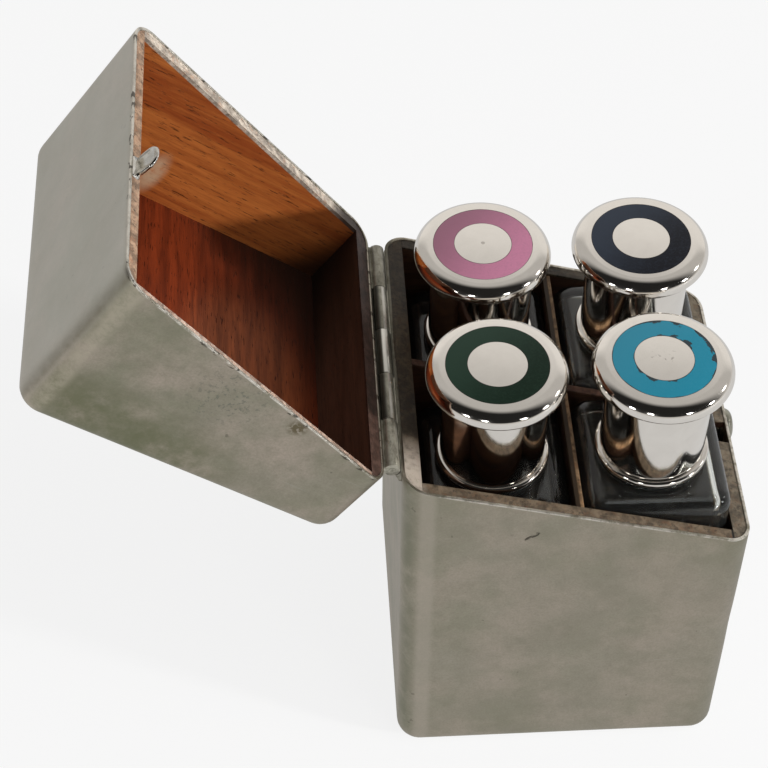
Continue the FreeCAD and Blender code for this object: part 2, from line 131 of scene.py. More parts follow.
def turned_open(points, angle=OPEN):
    """Shut lid to open lid: x' = ax + dx cos t - dz sin t, z' = az + dx sin t + dz cos t."""
    dx = points[..., 0] - AXIS_X
    dz = points[..., 2] - AXIS_Z
    x = AXIS_X + dx * math.cos(angle) - dz * math.sin(angle)
    z = AXIS_Z + dx * math.sin(angle) + dz * math.cos(angle)
    return np.stack((x, points[..., 1], z), axis=-1)


# A point of the open lid lies, when the lid is shut, where this shift puts it after a turn back by OPEN
SHUT_SHIFT = tuple(turned_open(np.zeros(3), -OPEN) * MM)


def linked(name, data):
    """New object with this data, put into the scene."""
    piece = bpy.data.objects.new(name, data)
    scene.collection.objects.link(piece)
    return piece


def on_axis(*heights):
    """Points on the Z axis."""
    return np.array([(0, 0, z) for z in heights])


def surface(name, rows, start=None, end=None):
    """Smooth mesh from rows of rings of points; faces run ring to ring.

    A pole at either end closes it with a fan. With no poles the last ring joins the first one.
    """
    count, around = rows.shape[:2]
    looped = start is None and end is None
    ring = np.arange(around)
    after = (ring + 1) % around
    row = np.arange(count if looped else count - 1)[:, None]
    this = row * around
    below = (row + 1) % count * around
    quads = np.stack((this + ring, below + ring, below + after, this + after), -1)
    points = rows.reshape(-1, 3)
    faces = quads.reshape(-1, 4).tolist()
    if start is not None:
        faces += np.stack((np.full(around, len(points)), ring, after), -1).tolist()
        points = np.vstack((points, start))
    if end is not None:
        last = (count - 1) * around
        faces += np.stack((np.full(around, len(points)), last + after, last + ring), -1).tolist()
        points = np.vstack((points, end))
    mesh = bpy.data.meshes.new(name)
    mesh.from_pydata((points * MM).tolist(), [], faces)
    mesh.polygons.foreach_set("use_smooth", np.ones(len(mesh.polygons), dtype=bool))
    return linked(name, mesh)


def arc(radius, height, bend, first, last, count=9, rise=None):
    """Points of an arc of a profile: (radius + bend cos a, height + rise sin a), a in degrees."""
    a = np.radians(np.linspace(first, last, count))
    rise = bend if rise is None else rise
    return np.column_stack((radius + bend * np.cos(a), height + rise * np.sin(a)))


def run(a, b, count):
    """Evenly spaced points, or rings of points, from a to b, both left out."""
    a = np.array(a)
    t = np.linspace(0, 1, count + 2)[1:-1].reshape(-1, *[1] * a.ndim)
    return a * (1 - t) + np.array(b) * t


def turned_at(bearing, profile):
    """Rings of a profile (r, z) turned about the Z axis: (r cos a, r sin a, z) for each bearing a."""
    r = profile[:, :1]
    z = np.repeat(profile[:, 1:], len(bearing), axis=1)
    return np.stack((r * np.cos(bearing), r * np.sin(bearing), z), axis=-1)


def turned_rows(profile, around=TURNED_STEPS):
    """Rings of a turned profile with evenly spaced points."""
    return turned_at(np.linspace(0, 2 * math.pi, around, endpoint=False), profile)


def sharp_edged(piece):
    """Smooth faces, with edges kept sharp where two faces meet at more than a shallow angle."""
    piece.data.set_sharp_from_angle(angle=math.radians(SHARP_ANGLE))
    return piece


def outline(corner_steps=12, side_steps=36):
    """Corner sign and outward direction of each point round a rounded rectangle.

    Along a rounded corner the sign stays and the direction turns; along a side it is the other way round.
    A point at half sizes h and radius r is then sign * (h - r) + r * direction.
    """
    signs = np.array(((1, 1), (-1, 1), (-1, -1), (1, -1)), dtype=float)
    turn = np.linspace(0, math.pi / 2, corner_steps)
    all_signs = []
    all_turns = []
    for k in range(4):
        corner = np.repeat(signs[k:k + 1], corner_steps, axis=0)
        all_signs += [corner, run(signs[k], signs[(k + 1) % 4], side_steps)]
        all_turns += [turn + k * math.pi / 2, np.full(side_steps, (k + 1) * math.pi / 2)]
    angle = np.concatenate(all_turns)
    return np.vstack(all_signs), np.column_stack((np.cos(angle), np.sin(angle)))


def dents(points, spots):
    """Depth of shallow dents at the points: the sum of d exp(-|p - c|^2 / 2 w^2)."""
    depth = np.zeros(points.shape[:-1])
    for centre, width, deep in spots:
        away = ((points - np.array(centre)) ** 2).sum(-1)
        depth += deep * np.exp(-away / (2 * width ** 2))
    return depth


def case_rows(insets, heights, spots):
    """Rings of the case's plan, each set in from the outside, at heights that may follow the rim.

    heights is a function of x for each ring. Dents push the walls in.
    """
    sign, way = outline()
    rows = []
    for inset, height in zip(insets, heights):
        flat = sign * (HALF - CORNER) + (CORNER - inset) * way
        rows.append(np.column_stack((flat, height(flat[:, 0]))))
    rows = np.array(rows)
    push = dents(rows, spots)
    rows[..., :2] -= push[..., None] * way
    return rows


def level(z):
    """The same height at every x."""
    return lambda x: np.full_like(x, z)


def between(share, ends):
    """Height of a wall ring at a share of the way from its straight end to the rim."""
    foot, top = ends
    return lambda x: foot + (top(x) - foot) * share


def case_half(edge_z, rim_of, spots):
    """One half of the case from the middle of its inside round the rim to the middle of its outside.

    edge_z is the level of the closed end's outside; its rounded edges have radius EDGE outside.
    """
    up = 1.0 if edge_z < RIM_LOW else -1.0
    bend = np.radians(np.linspace(0, 90, BEND_STEPS))
    draw = 1 - np.sin(bend)
    rise = 1 - np.cos(bend)
    inner_edge = EDGE - SHEET
    insets = list(SHEET + inner_edge * draw)
    heights = [level(edge_z + up * (SHEET + inner_edge * r)) for r in rise]
    inside = (edge_z + up * EDGE, lambda x: rim_of(x) - up * RIM_EASE)
    shares = np.linspace(0, 1, WALL_STEPS)[1:]
    insets += [SHEET] * len(shares)
    heights += [between(s, inside) for s in shares]
    turn = np.radians(np.linspace(180, 0, RIM_STEPS))[1:-1]
    insets += list(SHEET / 2 - SHEET / 2 * np.cos(turn))
    heights += [lambda x, s=math.sin(t): rim_of(x) - up * RIM_EASE * (1 - s) for t in turn]
    insets += [0.0] * len(shares)
    heights += [between(s, inside) for s in shares[::-1]]
    insets += list(EDGE * draw[::-1])
    heights += [level(edge_z + up * EDGE * r) for r in rise[::-1]]
    return case_rows(insets, heights, spots), on_axis(edge_z + up * SHEET, edge_z)


# Middle, width and depth of each dent
BASE_DENTS = (
    ((33, -38, 41), 4.5, 0.30),
    ((-20, -38, 55), 14, 0.12),
    ((12, -38, 30), 16, 0.10),
    ((-34, -37, 30), 6, 0.12),
    ((38, 12, 40), 14, 0.15),
    ((-38, -6, 40), 14, 0.15),
    ((4, 38, 50), 18, 0.15),
    ((-30, -38, 76), 5, 0.10),
)
LID_DENTS = (
    ((16, -38, 104), 9, 0.16),
    ((-6, -38, 106), 12, 0.10),
    ((38, 6, 98), 14, 0.14),
    ((38, -20, 104), 10, 0.10),
    ((6, 38, 100), 14, 0.12),
    ((-10, 8, 118.5), 16, 0.20),
)

base_rows, base_poles = case_half(0.0, rim, BASE_DENTS)
base_shell = surface("base_case", base_rows, *base_poles)
lid_rows, lid_poles = case_half(CASE_TOP, lambda x: rim(x) + RIM_GAP, LID_DENTS)
lid_shell = surface("lid_case", turned_open(lid_rows[::-1]), *turned_open(lid_poles[::-1]))


def bored(piece, tool):
    """Cut the tool out of a piece."""
    cut = piece.modifiers.new("bore", "BOOLEAN")
    cut.object = tool
    cut.operation = "DIFFERENCE"
    cut.solver = "EXACT"
    graph = bpy.context.evaluated_depsgraph_get()
    piece.data = bpy.data.meshes.new_from_object(piece.evaluated_get(graph))
    piece.modifiers.clear()
    sharp_edged(piece)
    bpy.data.objects.remove(tool)


def sideways(points, middle):
    """Turn a shape drawn along Z to lie along X, by moving each axis on to the next."""
    return points[..., (2, 0, 1)] + np.array(middle)


# Button of the catch, drawn along Z from its back, with its hole in the wall
button_low, button_high = extent("latch_button")
BUTTON_MIDDLE = (HALF, 0.0, (button_low[2] + button_high[2]) / 2)
BUTTON_FLANGE = (button_high[2] - button_low[2]) / 2
BUTTON_PROUD = button_high[0] - HALF
BUTTON_BACK = button_low[0] - HALF
BUTTON_RADIUS = 3.9
BUTTON_ROUND = 1.9
BUTTON_PLAY = 0.15
BUTTON_CROWN = 0.25
FLANGE_PLAY = 0.1
FLANGE_FACE = -SHEET - FLANGE_PLAY

hole_radius = BUTTON_RADIUS + BUTTON_PLAY
hole_back = -2 * SHEET
hole = np.array(((hole_radius, SHEET), (hole_radius, hole_back)))
hole_rows = sideways(turned_rows(hole, BUTTON_STEPS), BUTTON_MIDDLE)
hole_poles = sideways(on_axis(SHEET, hole_back), BUTTON_MIDDLE)
bored(base_shell, surface("hole_tool", hole_rows, *hole_poles))

button_edge = BUTTON_RADIUS - BUTTON_ROUND
button_top = BUTTON_PROUD - BUTTON_CROWN
button_profile = np.vstack((
    run((0, BUTTON_PROUD), (button_edge, button_top), 6),
    arc(button_edge, button_top - BUTTON_ROUND, BUTTON_ROUND, 84, 0, 14),
    run((BUTTON_RADIUS, 0), (BUTTON_RADIUS, FLANGE_FACE), 3),
    ((BUTTON_RADIUS, FLANGE_FACE), (BUTTON_FLANGE, FLANGE_FACE), (BUTTON_FLANGE, BUTTON_BACK)),
))
button_poles = sideways(on_axis(BUTTON_PROUD, BUTTON_BACK), BUTTON_MIDDLE)
button_rows = sideways(turned_rows(button_profile, BUTTON_STEPS), BUTTON_MIDDLE)
button = sharp_edged(surface("catch_button", button_rows, *button_poles))

# Tongue of the catch: a blade that leans in from its root block, with a rounded lip round a shallow dish
TONGUE_WIDTH = 5.5
TONGUE_SHEET = 0.8
TONGUE_LENGTH = 5.2
TONGUE_ROOT = 8.0
TONGUE_INSET = 0.9
TONGUE_LEAN = 1.0
TONGUE_Y = -6.4
TONGUE_ROUND = 2.6
TONGUE_OVERLAP = 1.2
EASED = 0.15

# The dish's depth, and how far in from the blade's outline its rings lie
DISH = 0.2
DISH_RISE = 0.06
DISH_TOP = 0.75
DISH_FLOOR = 1.0
BACK_RING = 1.2
INNER_RING = 1.9

tongue_lip = TONGUE_SHEET / 2
tongue_back = HALF - SHEET
tongue_face = tongue_back - TONGUE_INSET
tongue_foot = rim(tongue_back) + RIM_GAP
tongue_tip = RIM_LOW - TONGUE_LENGTH
lean_angle = math.atan2(TONGUE_LEAN, tongue_foot - tongue_tip)
UP_BLADE = np.array((math.sin(lean_angle), 0, math.cos(lean_angle)))
OFF_BLADE = np.array((math.cos(lean_angle), 0, -math.sin(lean_angle)))
ACROSS = np.array((0.0, 1.0, 0.0))


def blade_rows(length):
    """Rings of the blade from its dish over the lip to its back: across p, along q and off its plane by h.

    A ring at inset d is sign * (half - r) + (r - d) * direction; the lip is half a circle of the sheet.
    """
    sign, way = outline(9, 6)
    half = np.array((TONGUE_WIDTH / 2, length / 2))
    dish = ((INNER_RING, DISH), (DISH_FLOOR, DISH), (DISH_TOP, DISH + DISH_RISE))
    lip = arc(tongue_lip, 0, tongue_lip, 75, 270, 17)
    back = ((BACK_RING, -tongue_lip), (INNER_RING, -tongue_lip))
    section = np.vstack((dish, lip, back))
    inset = section[:, 0, None, None]
    flat = sign * (half - TONGUE_ROUND) + (TONGUE_ROUND - inset) * way
    tip = np.array((tongue_face - TONGUE_LEAN - tongue_lip, TONGUE_Y, tongue_tip))
    off = section[:, 1, None, None] * OFF_BLADE
    rows = tip + flat[..., :1] * ACROSS + (flat[..., 1:] + length / 2) * UP_BLADE + off
    middle = tip + length / 2 * UP_BLADE
    return rows, (middle + DISH * OFF_BLADE, middle - tongue_lip * OFF_BLADE)


rows, poles = blade_rows((tongue_foot - tongue_tip) / math.cos(lean_angle) + TONGUE_OVERLAP)
blade = surface("catch_blade", turned_open(rows), *(turned_open(p) for p in poles))

# Caps: top with a low crown, rounded head, cove, skirt, foot bead, and the hollow inside
HEAD = 15.05
HEAD_HEIGHT = 4.4
HEAD_ROUND = 3.2
UNDER_ROUND = 1.1
SKIRT = 11.4
COVE = 0.9
FOOT = 12.4
FOOT_HEIGHT = 2.0
FOOT_ROUND = 0.9
CAP_SHEET = 0.6
RING_OUT = 10.9
RING_IN = 6.25
RING_MIDDLE = (RING_IN + RING_OUT) / 2
RING_DEEP = 0.4
RING_PLAY = 0.015
RING_SUNK = 0.01
CROWN = 0.28
FIRST_RADIUS = 0.6
CREASE = 0.05
CREASE_DROP = 0.01
HOLLOW_SLANT = 2.0


def top_run(first, last, count, top):
    """Points of the cap's top face, which falls by CROWN towards the rounded edge, as the square of r."""
    r = np.linspace(first, last, count)
    return np.column_stack((r, top - CROWN * (r / (HEAD - HEAD_ROUND)) ** 2))


def cap_profile(top):
    """Profile from the middle of the top, over the head and down the skirt, then up inside."""
    edge = HEAD - HEAD_ROUND
    under = top - HEAD_HEIGHT
    floor = top - RING_DEEP
    ceiling = floor - CAP_SHEET
    hollow = HEAD - CAP_SHEET
    inner = SKIRT - CAP_SHEET
    shelf = under + CAP_SHEET
    return np.vstack((
        top_run(FIRST_RADIUS, RING_IN - RING_PLAY, 8, top),
        ((RING_IN - RING_PLAY, floor), (RING_OUT + RING_PLAY, floor)),
        top_run(RING_OUT + RING_PLAY, edge, 5, top),
        arc(edge, under + UNDER_ROUND, HEAD_ROUND, 86, 0, 24, HEAD_HEIGHT - UNDER_ROUND - CROWN),
        arc(HEAD - UNDER_ROUND, under + UNDER_ROUND, UNDER_ROUND, -8, -90, 10),
        run((HEAD - UNDER_ROUND, under), (SKIRT + COVE, under), 3),
        arc(SKIRT + COVE, under - COVE, COVE, 90, 180, 9),
        run((SKIRT, under - COVE), (SKIRT, FOOT_HEIGHT), 14),
        ((SKIRT, FOOT_HEIGHT), (SKIRT + CREASE, FOOT_HEIGHT - CREASE_DROP)),
        arc(FOOT - FOOT_ROUND, FOOT_HEIGHT - FOOT_ROUND, FOOT_ROUND, 88, 0, 9),
        arc(FOOT - FOOT_ROUND, FOOT_ROUND, FOOT_ROUND, -2, -90, 9),
        ((inner + CREASE, 0), (inner, CREASE)),
        run((inner, 0), (inner, shelf), 6),
        ((inner, shelf), (hollow, shelf)),
        ((hollow, ceiling - HOLLOW_SLANT), (hollow - HOLLOW_SLANT, ceiling)),
    )), ceiling


# Bottles: square body with rounded shoulders and heel, thick floor, seat for the cap, neck and bore
BOTTLE_ROUND = 4.5
SHOULDER_ROUND = 3.6
HEEL_ROUND = 1.2
GLASS = 2.6
GLASS_FLOOR = 5.0
INNER_ROUND = 2.2
SEAT = 11.8
SEAT_HEIGHT = 0.9
NECK = 8.5
NECK_HEIGHT = 18.7
LIP_ROUND = 0.8
BORE = 5.6
BORE_FLARE = 1.0
BORE_LIP = 0.4
NECK_COVE = 0.5
SEAT_ROUND = 0.35
INNER_EASE = 0.1
BOTTLE_BEND_STEPS = 8


def blown(sign, way, half, round_plan, insets, heights):
    """Rings of a bottle's rounded square plan, each set in from its outside."""
    flat = sign * (half - round_plan) + (round_plan - np.array(insets)[:, None, None]) * way
    z = np.repeat(np.array(heights)[:, None, None], len(sign), axis=1)
    return np.concatenate((flat, z), axis=2)


def bottle_rows(half, shoulder):
    """Closed skin of a bottle: inside from the floor up the bore, over the lip, and down the outside.

    The neck is turned with one point on each bearing of the square body.
    """
    sign, way = outline(9, 18)
    square = sign * (half - BOTTLE_ROUND) + BOTTLE_ROUND * way
    bearing = np.arctan2(square[:, 1], square[:, 0])
    bend = np.radians(np.linspace(0, 90, BOTTLE_BEND_STEPS))
    draw = 1 - np.sin(bend)
    rise = 1 - np.cos(bend)
    ceiling = shoulder - GLASS
    soft = INNER_ROUND - INNER_EASE
    inside_half = half - GLASS
    floor_in = blown(sign, way, inside_half, INNER_ROUND, soft * draw, GLASS_FLOOR + soft * rise)
    wall_in = run(floor_in[-1], floor_in[-1] + (0, 0, ceiling - GLASS_FLOOR - 2 * soft), 8)
    top_in = blown(sign, way, inside_half, INNER_ROUND, soft * rise, ceiling - soft * draw)
    bore_low = ceiling + BORE_FLARE
    bore_foot = turned_at(bearing, arc(BORE + BORE_FLARE, bore_low, BORE_FLARE, -90, -180, 6))
    ceiling_in = run(top_in[-1], bore_foot[0], 4)
    top = shoulder + NECK_HEIGHT
    seat_top = shoulder + SEAT_HEIGHT
    lip = turned_at(bearing, np.vstack((
        run((BORE, bore_low), (BORE, top - BORE_LIP), 6),
        arc(BORE + BORE_LIP, top - BORE_LIP, BORE_LIP, 180, 90, 6),
        arc(NECK - LIP_ROUND, top - LIP_ROUND, LIP_ROUND, 90, 0, 8),
        run((NECK, top - LIP_ROUND), (NECK, seat_top), 6),
        arc(NECK + NECK_COVE, seat_top + NECK_COVE, NECK_COVE, 180, 270, 5),
        arc(SEAT - SEAT_ROUND, seat_top - SEAT_ROUND, SEAT_ROUND, 90, 0, 6),
        arc(SEAT + SEAT_ROUND, shoulder + SEAT_ROUND, SEAT_ROUND, 180, 270, 6),
    )))
    shoulder_bend = shoulder - SHOULDER_ROUND * rise
    top_out = blown(sign, way, half, BOTTLE_ROUND, SHOULDER_ROUND * draw, shoulder_bend)
    shoulder_out = run(lip[-1], top_out[0], 5)
    heel = blown(sign, way, half, BOTTLE_ROUND, HEEL_ROUND * rise, HEEL_ROUND * draw)
    wall_out = run(top_out[-1], heel[0], 10)
    inside = (floor_in, wall_in, top_in, ceiling_in, bore_foot)
    outside = (lip, shoulder_out, top_out, wall_out, heel)
    return np.concatenate(inside + outside)


# Root block of the tongue, between the lid's sheet and its lining
root_half = np.array((tongue_back - tongue_face + TONGUE_SHEET, TONGUE_WIDTH)) / 2
root_middle = (tongue_back - root_half[0], TONGUE_Y, 0)
root_top = RIM_LOW + RIM_GAP + TONGUE_ROOT
root_levels = (root_top, root_top - EASED, tongue_foot + EASED, tongue_foot)
root_rows = blown(*outline(5, 4), root_half, 2 * EASED, (EASED, 0, 0, EASED), root_levels) + root_middle
root_poles = on_axis(root_top, tongue_foot) + root_middle
blade_root = sharp_edged(surface("catch_root", turned_open(root_rows), *turned_open(root_poles)))

# Bow spring between the mortise's floor and the bolt, which presses it flatter
SPRING_SHEET = 0.25
SPRING_EASE = 0.06
SPRING_PLAY = 0.02

spring_low, spring_high = extent("latch_spring")


def strip_rows(low, high):
    """Rings of a strip bent to an arc of radius r = (c^2 + b^2) / 2 b over half its chord c and its bow b."""
    chord = (high[2] - low[2]) / 2 - SPRING_SHEET
    bow = high[0] - low[0] - SPRING_SHEET - SPRING_PLAY
    radius = (chord ** 2 + bow ** 2) / (2 * bow) + SPRING_SHEET / 2
    bend = math.asin(chord / (radius - SPRING_SHEET / 2))
    sign, way = outline(4, 3)
    section = sign * (np.array((high[1] - low[1], SPRING_SHEET)) / 2 - SPRING_EASE) + SPRING_EASE * way
    turn = np.linspace(-bend, bend, SPRING_STEPS)[:, None]
    reach = radius + section[:, 1]
    centre = high[0] - SPRING_PLAY - SPRING_SHEET / 2 - radius
    across = np.broadcast_to(section[:, 0], (len(turn), len(section)))
    middle = (low[2] + high[2]) / 2
    return np.stack((centre + reach * np.cos(turn), across, middle + reach * np.sin(turn)), axis=-1)


rows = strip_rows(spring_low, spring_high)
spring = sharp_edged(surface("bow_spring", rows, rows[0].mean(axis=0), rows[-1].mean(axis=0)))


# Finishes
class Tree:
    """Node tree of a finish, the floor or the room, with short calls for the nodes that they share."""

    def __init__(self, owner):
        owner.use_nodes = True
        self.nodes = owner.node_tree.nodes
        self.links = owner.node_tree.links

    def add(self, kind, inputs=(), **settings):
        """New node of a kind, with values or sockets for its inputs."""
        node = self.nodes.new(kind)
        for key, value in settings.items():
            setattr(node, key, value)
        for key, value in dict(inputs).items():
            self.feed(node.inputs[key], value)
        return node

    def feed(self, socket, value):
        """Link a socket to an input, or give the input a value."""
        if isinstance(value, bpy.types.NodeSocket):
            self.links.new(value, socket)
        else:
            socket.default_value = value

    def math(self, operation, a, b=0.0):
        """Result of a sum on one or two values."""
        node = self.add("ShaderNodeMath", {0: a, 1: b}, operation=operation)
        return node.outputs["Value"]

    def both(self, *shares):
        """Product of several shares."""
        product = shares[0]
        for share in shares[1:]:
            product = self.math("MULTIPLY", product, share)
        return product

    def step(self, value, low, high, dim=0.0, bright=1.0):
        """Smooth step from dim at low to bright at high."""
        inputs = {"Value": value, "From Min": low, "From Max": high, "To Min": dim, "To Max": bright}
        return self.add("ShaderNodeMapRange", inputs, interpolation_type="SMOOTHSTEP").outputs["Result"]

    def dot(self, vector, way):
        """Dot product of a vector and a direction."""
        node = self.add("ShaderNodeVectorMath", {0: vector, 1: tuple(way)}, operation="DOT_PRODUCT")
        return node.outputs["Value"]

    def length(self, vector):
        """Length of a vector."""
        node = self.add("ShaderNodeVectorMath", {0: vector}, operation="LENGTH")
        return node.outputs["Value"]

    def inverse(self, share):
        """What a share leaves over from 1."""
        return self.math("SUBTRACT", 1.0, share)

    def glow(self, kind, colour, strength):
        """Shader of a kind that gives off light."""
        return self.add(kind, {"Color": colour, "Strength": strength}).outputs[0]

    def blend(self, share, a, b):
        """Shader a changed to shader b by a share."""
        return self.add("ShaderNodeMixShader", {0: share, 1: a, 2: b}).outputs[0]

    def passed_on(self, rays):
        """1 for rays that mirrors or glass pass on, and 0 for others."""
        return self.math("MAXIMUM", rays["Is Glossy Ray"], rays["Is Transmission Ray"])


class Finish(Tree):
    """A procedural finish on Object coordinates, counted from a middle if one is given.

    For a piece of the lid the coordinates are those that its points have when the lid is shut.
    """

    def __init__(self, name, shut_lid=False, middle=None):
        self.material = bpy.data.materials.new(name)
        super().__init__(self.material)
        self.shader = self.nodes["Principled BSDF"]
        self.normal = None
        self.colour = None
        self.place = self.add("ShaderNodeTexCoord").outputs["Object"]
        if shut_lid:
            self.place = self.mapped(rotation=(0, OPEN, 0), location=SHUT_SHIFT)
        if middle is not None:
            self.place = self.mapped(location=tuple(-np.array(middle) * MM))

    def set(self, **values):
        """Feed the colour and other sockets of the shader; an underscore stands for a space."""
        self.feed(self.shader.inputs["Base Color"], self.colour)
        for key, value in values.items():
            self.feed(self.shader.inputs[key.replace("_", " ")], value)

    def mapped(self, scale=(1, 1, 1), rotation=(0, 0, 0), location=(0, 0, 0)):
        """The place scaled, turned and moved."""
        inputs = {"Vector": self.place, "Scale": scale, "Rotation": rotation, "Location": location}
        return self.add("ShaderNodeMapping", inputs).outputs["Vector"]

    def noise(self, size, stretch=(1, 1, 1), detail=4.0, roughness=0.55, distortion=0.0, shift=0.0):
        """Cloudy pattern with patches of a size in millimetres, drawn out by the stretch."""
        vector = self.mapped(tuple(1 / s for s in stretch), location=(shift, shift, shift))
        inputs = {"Vector": vector, "Scale": 1 / (size * MM), "Detail": detail, "Roughness": roughness,
                  "Distortion": distortion}
        return self.add("ShaderNodeTexNoise", inputs).outputs["Fac"]

    def scaled(self, value, low, high):
        """A pattern from 0 to 1 carried over to the range from low to high."""
        inputs = {"Value": value, "To Min": low, "To Max": high}
        return self.add("ShaderNodeMapRange", inputs).outputs["Result"]

    def mix(self, share, a, b):
        """Colour a changed to colour b by a share."""
        node = self.add("ShaderNodeMix", data_type="RGBA")
        self.feed(node.inputs[0], share)
        for socket, colour in ((node.inputs[6], a), (node.inputs[7], b)):
            self.feed(socket, (*colour, 1.0) if isinstance(colour, tuple) else colour)
        return node.outputs[2]

    def stain(self, tint, *shares):
        """Change the finish's colour to a tint by the product of several shares."""
        self.colour = self.mix(self.both(*shares), self.colour, tint)

    def away(self, point):
        """Distance from a point, in millimetres."""
        inputs = {0: self.place, 1: tuple(np.array(point) * MM)}
        node = self.add("ShaderNodeVectorMath", inputs, operation="DISTANCE")
        return self.math("DIVIDE", node.outputs["Value"], MM)

    def oval(self, middle, half):
        """0 at the middle of an oval patch and 1 at its border, from its half sizes in millimetres."""
        scale = tuple(1 / (h * MM) for h in half)
        location = tuple(-m / h for m, h in zip(middle, half))
        return self.length(self.mapped(scale, location=location))

    def along(self, *way):
        """Distance along a direction, in millimetres."""
        return self.dot(self.place, np.array(way) / MM)

    def near(self, value, middle, half, soft):
        """1 where a value lies within a half width of the middle, with a soft border."""
        return self.step(self.math("ABSOLUTE", self.math("SUBTRACT", value, middle)), half + soft, half)

    def above_rim(self):
        """Height above the slanted rim of the base, in millimetres."""
        return self.math("SUBTRACT", self.along(-SLOPE, 0, 1), RIM_MIDDLE)

    def bump(self, height, depth):
        """Relief whose height pattern from 0 to 1 stands for a depth in millimetres."""
        node = self.add("ShaderNodeBump", {"Height": height, "Distance": depth * MM, "Strength": 1.0})
        if self.normal is not None:
            self.feed(node.inputs["Normal"], self.normal)
        self.normal = node.outputs["Normal"]
        self.feed(self.shader.inputs["Normal"], self.normal)


def dimmed(colour, share):
    """Colour at a share of its brightness."""
    return tuple(share * c for c in colour)


# Tints of the plate and of some marks on it: the cream band's tint is partly a painted highlight, and the
# olive one is painted shade
PLATE_GREY = (0.40, 0.365, 0.29)
PLATE_PALE = (0.47, 0.43, 0.35)
CATCH_PALE = (0.70, 0.68, 0.615)
TARNISHED = (0.205, 0.215, 0.125)
RUBBED_AND_HIGHLIGHT = (0.63, 0.57, 0.455)
CORNER_BROWN = (0.25, 0.215, 0.15)
PITTED = (0.15, 0.17, 0.145)
STAINED = (0.15, 0.12, 0.06)
CORNER_SHADE = (0.22, 0.225, 0.155)
RIM_BRIGHT = (0.84, 0.80, 0.72)
RIM_DARK = (0.08, 0.07, 0.055)

# Places and directions of marks on the front
PITS_PLACE = (4, -38, 92)
STAIN_PLACE = (-12, -38, 92.5)
NICK_ALONG = (0.806, 0, 0.591)
NICK_ACROSS = (-0.591, 0, 0.806)


